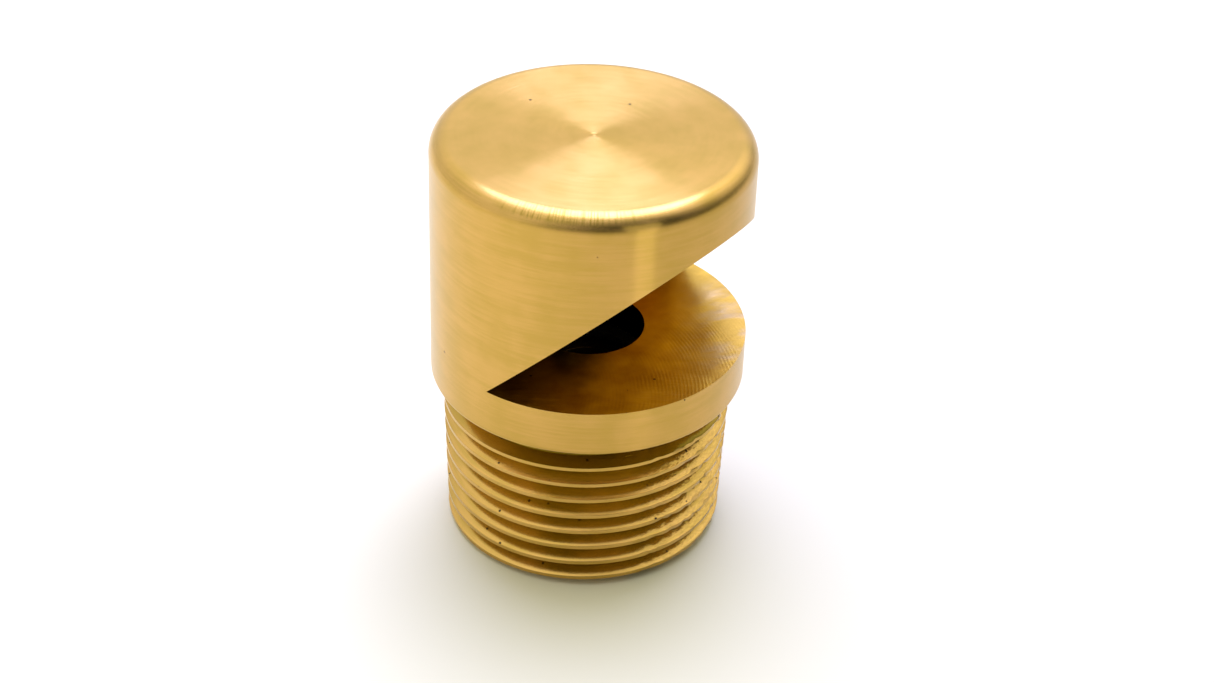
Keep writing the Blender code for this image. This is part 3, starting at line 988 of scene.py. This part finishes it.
def build_float():
    plastic = moulded("float_plastic", *FLOAT_PLASTIC, 0.42)
    low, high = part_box("float_shell")
    radius = high.x
    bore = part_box("guide_pin")[1].x + PIN_CLEARANCE
    inside = radius - FLOAT_WALL
    profile = [
        (0.0, DISC_RECESS_FLOOR),
        (DISC_RECESS_RADIUS, DISC_RECESS_FLOOR),
        (DISC_RECESS_RADIUS, high.z),
        (radius - FLOAT_EDGE, high.z),
        (radius, high.z - FLOAT_EDGE),
        (radius, low.z),
        (inside, low.z),
        (inside, FLOAT_CEILING),
        (FLOAT_TUBE_RADIUS, FLOAT_CEILING),
        (FLOAT_TUBE_RADIUS, FLOAT_TUBE_BOTTOM),
        (bore, FLOAT_TUBE_BOTTOM),
        (bore, FLOAT_TUBE_TOP),
        (0.0, FLOAT_TUBE_TOP),
    ]
    shell = turned("float_shell_fine", rounded(profile, EDGE, is_loop=False), is_loop=False)
    stand_for(shell, "float_shell", plastic)
    low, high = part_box("float_cap")
    stand_for(ring("float_cap_fine", bore, high.x, low.z, high.z), "float_cap", plastic)
    low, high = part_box("valve_disc")
    profile = [(0.0, high.z), (high.x, high.z), (high.x, low.z), (0.0, low.z)]
    disc = turned("valve_disc_fine", rounded(profile, DISC_EDGE, is_loop=False), is_loop=False)
    stand_for(disc, "valve_disc", rubber("disc_rubber", 0.02))


def spider_window(start):
    """One opening between two arms: an arc under the rim and an arc round the hub."""
    rim_margin = math.asin(SPIDER_ARM_HALF_WIDTH / SPIDER_RIM_RADIUS)
    hub_margin = math.asin(SPIDER_ARM_HALF_WIDTH / SPIDER_HUB_RADIUS)
    end = start + FULL_TURN / SPIDER_ARMS
    rim = arc((0.0, 0.0), SPIDER_RIM_RADIUS, start + rim_margin, end - rim_margin, HOLE_STEPS)
    hub = arc((0.0, 0.0), SPIDER_HUB_RADIUS, end - hub_margin, start + hub_margin, HOLE_STEPS)
    return rim + hub


def build_guide(stainless):
    low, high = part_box("guide_pin")
    radius = high.x
    profile = [(0.0, high.z), (radius, high.z), (radius, low.z), (0.0, low.z)]
    pin = turned("guide_pin_fine", rounded(profile, PIN_EDGE, is_loop=False), PIN_STEPS, is_loop=False)
    stand_for(pin, "guide_pin", stainless)
    low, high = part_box("spacer_sleeve")
    sleeve = ring("spacer_sleeve_fine", STACK_RADIUS - SLEEVE_WALL, STACK_RADIUS, low.z, high.z)
    stand_for(sleeve, "spacer_sleeve", stainless)
    low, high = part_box("guide_spider")
    outlines = [
        circle((0.0, 0.0), STACK_RADIUS, INNER_STEPS),
        circle((0.0, 0.0), radius + PIN_CLEARANCE, HOLE_STEPS),
    ]
    outlines += [spider_window(arm * FULL_TURN / SPIDER_ARMS) for arm in range(SPIDER_ARMS)]
    spider = cut_plate("guide_spider_fine", outlines, low.z, high.z, EDGE)
    black = moulded("guide_plastic", *BLACK_PLASTIC, 0.48)
    stand_for(spider, "guide_spider", black)


def build_strainer(stainless):
    """A disc with round holes on a triangular grid, as far out as its plain rim allows."""
    low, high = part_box("inlet_strainer")
    reach = STACK_RADIUS - STRAINER_RIM - STRAINER_HOLE_RADIUS
    rows = math.ceil(reach / STRAINER_HOLE_PITCH) + 1
    outlines = [circle((0.0, 0.0), STACK_RADIUS, INNER_STEPS)]
    for row in range(-rows, rows + 1):
        for column in range(-2 * rows, 2 * rows + 1):
            x = (column + row / 2.0) * STRAINER_HOLE_PITCH
            y = row * STRAINER_HOLE_PITCH * math.sqrt(3.0) / 2.0
            if math.hypot(x, y) <= reach:
                outlines.append(circle((x, y), STRAINER_HOLE_RADIUS, HOLE_STEPS))
    disc = cut_plate("inlet_strainer_fine", outlines, low.z, high.z, STRAINER_EDGE)
    stand_for(disc, "inlet_strainer", stainless)


def build_retaining_ring():
    """A C-shaped circlip whose two ends widen into lugs with plier holes."""
    low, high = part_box("retaining_ring")
    axis = (0.0, 0.0)
    first = RING_HALF_GAP
    last = FULL_TURN - RING_HALF_GAP
    first_lug = first + RING_LUG_ANGLE
    last_lug = last - RING_LUG_ANGLE
    outline = arc(axis, RING_OUTER_RADIUS, first, last, INNER_STEPS)
    outline += arc(axis, RING_LUG_RADIUS, last, last_lug, ARC_STEPS)
    outline += arc(axis, RING_INNER_RADIUS, last_lug, first_lug, INNER_STEPS)
    outline += arc(axis, RING_LUG_RADIUS, first_lug, first, ARC_STEPS)
    hole_distance = (RING_OUTER_RADIUS + RING_LUG_RADIUS) / 2.0
    outlines = [outline]
    for angle in (first + RING_LUG_ANGLE / 2.0, last - RING_LUG_ANGLE / 2.0):
        centre = (hole_distance * math.cos(angle), hole_distance * math.sin(angle))
        outlines.append(circle(centre, RING_LUG_HOLE, HOLE_STEPS))
    clip = cut_plate("retaining_ring_fine", outlines, low.z, high.z, RING_EDGE)
    look = steel("spring_steel", *SPRING_STEEL, 0.42)
    stand_for(clip, "retaining_ring", look)


# ================================================================ stage, light and camera
def build_floor():
    """A pale matt floor, warmer and lighter to the camera's left and darker to its right as painted shade,
    whose colour the body's side picks up.
    """
    bpy.ops.mesh.primitive_plane_add(size=FLOOR_SIZE, location=(0.0, 0.0, 0.0))
    floor = bpy.context.object
    floor.name = "floor"
    look = Look("floor_white", FLOOR_LIT, 0.9, 0.0)
    look.set("Specular IOR Level", 0.0)
    mottle = look.noise(look.position(), 8.0, 2.0)
    # Painted shade: the floor darkens towards the camera's right
    across = look.vector_math("DOT_PRODUCT", look.position(), round_the_axis(90.0, 1.0, 0.0))
    shade = look.weighted(mottle, 0.1, look.remap(across, *FLOOR_SHADE_RAMP, 0.0, 0.9))
    floor.data.materials.append(look.wire(colour=look.mix(shade, FLOOR_LIT, FLOOR_SHADED)))


def soft_light(name, place, size, power, colour=(1.0, 1.0, 1.0)):
    """A soft box that faces the body and that the camera doesn't see."""
    light = bpy.data.lights.new(name, "AREA")
    light.shape = "RECTANGLE"
    light.size = size[0]
    light.size_y = size[1]
    light.energy = power
    light.color = colour
    item = bpy.data.objects.new(name, light)
    bpy.context.scene.collection.objects.link(item)
    item.location = place
    aim = Vector((0.0, 0.0, LEDGE_HEIGHT)) - Vector(place)
    item.rotation_euler = aim.to_track_quat("-Z", "Y").to_euler()
    item.visible_camera = False
    return light


def build_world():
    """A room with a pale left side and soft glows high up behind the vent and to its right."""
    world = bpy.data.worlds.new("studio")
    world.use_nodes = True
    nodes = world.node_tree.nodes
    links = world.node_tree.links
    nodes["Background"].inputs["Color"].default_value = (1.0, 1.0, 1.0, 1.0)
    direction = nodes.new("ShaderNodeTexCoord")
    total = None
    for azimuth, height, (inner, outer), (low, high) in ROOM_PARTS:
        rise = math.radians(height)
        toward = nodes.new("ShaderNodeVectorMath")
        toward.operation = "DOT_PRODUCT"
        toward.inputs[1].default_value = round_the_axis(azimuth, math.cos(rise), math.sin(rise))
        links.new(direction.outputs["Generated"], toward.inputs[0])
        level = nodes.new("ShaderNodeMapRange")
        level.interpolation_type = "SMOOTHSTEP"
        level.inputs["From Min"].default_value = math.cos(math.radians(outer))
        level.inputs["From Max"].default_value = math.cos(math.radians(inner))
        level.inputs["To Min"].default_value = low
        level.inputs["To Max"].default_value = high
        links.new(toward.outputs["Value"], level.inputs["Value"])
        if total is None:
            total = level.outputs["Result"]
            continue
        both = nodes.new("ShaderNodeMath")
        links.new(total, both.inputs[0])
        links.new(level.outputs["Result"], both.inputs[1])
        total = both.outputs[0]
    links.new(total, nodes["Background"].inputs["Strength"])
    bpy.context.scene.world = world


def build_lights():
    """A bluish disc overhead, a weak window to the right, and its small glint low on the thread."""
    overhead = soft_light(
        "overhead", round_the_axis(180.0, 0.24, 0.60), size=(0.54, 0.54), power=2.80, colour=(0.92, 1.0, 2.5)
    )
    overhead.shape = "ELLIPSE"
    soft_light("window", round_the_axis(34.0, 0.70, 0.22), size=(0.30, 0.42), power=0.30)
    soft_light("card", round_the_axis(33.0, 0.065, 0.020), size=(0.014, 0.040), power=0.0009)


def build_camera():
    turn = Matrix.Rotation(CAMERA_AZIMUTH, 3, "Z")
    place = turn @ Vector(
        (0.0, -CAMERA_DISTANCE * math.cos(CAMERA_ELEVATION), CAMERA_DISTANCE * math.sin(CAMERA_ELEVATION))
    )
    look = turn @ Vector(
        (
            math.sin(CAMERA_PAN) * math.cos(CAMERA_TILT),
            math.cos(CAMERA_PAN) * math.cos(CAMERA_TILT),
            -math.sin(CAMERA_TILT),
        )
    )
    level = look.cross(Vector((0.0, 0.0, 1.0))).normalized()
    upright = level.cross(look)
    right = level * math.cos(CAMERA_ROLL) + upright * math.sin(CAMERA_ROLL)
    up = upright * math.cos(CAMERA_ROLL) - level * math.sin(CAMERA_ROLL)
    camera = bpy.data.cameras.new("camera")
    camera.lens = CAMERA_LENS
    camera.sensor_width = CAMERA_SENSOR
    camera.clip_start = 0.005
    camera.clip_end = 10.0
    item = bpy.data.objects.new("camera", camera)
    bpy.context.scene.collection.objects.link(item)
    axes = Matrix((right, up, -look)).transposed().to_4x4()
    item.matrix_world = Matrix.Translation(place + Vector((0.0, 0.0, LEDGE_HEIGHT))) @ axes
    bpy.context.scene.camera = item


def build_vent():
    stainless = steel("stainless_steel", *STAINLESS, 0.30)
    build_body()
    build_seat()
    build_float()
    build_guide(stainless)
    build_strainer(stainless)
    build_retaining_ring()


build_vent()
build_floor()
build_world()
build_lights()
build_camera()
bpy.context.scene.view_settings.view_transform = "Standard"
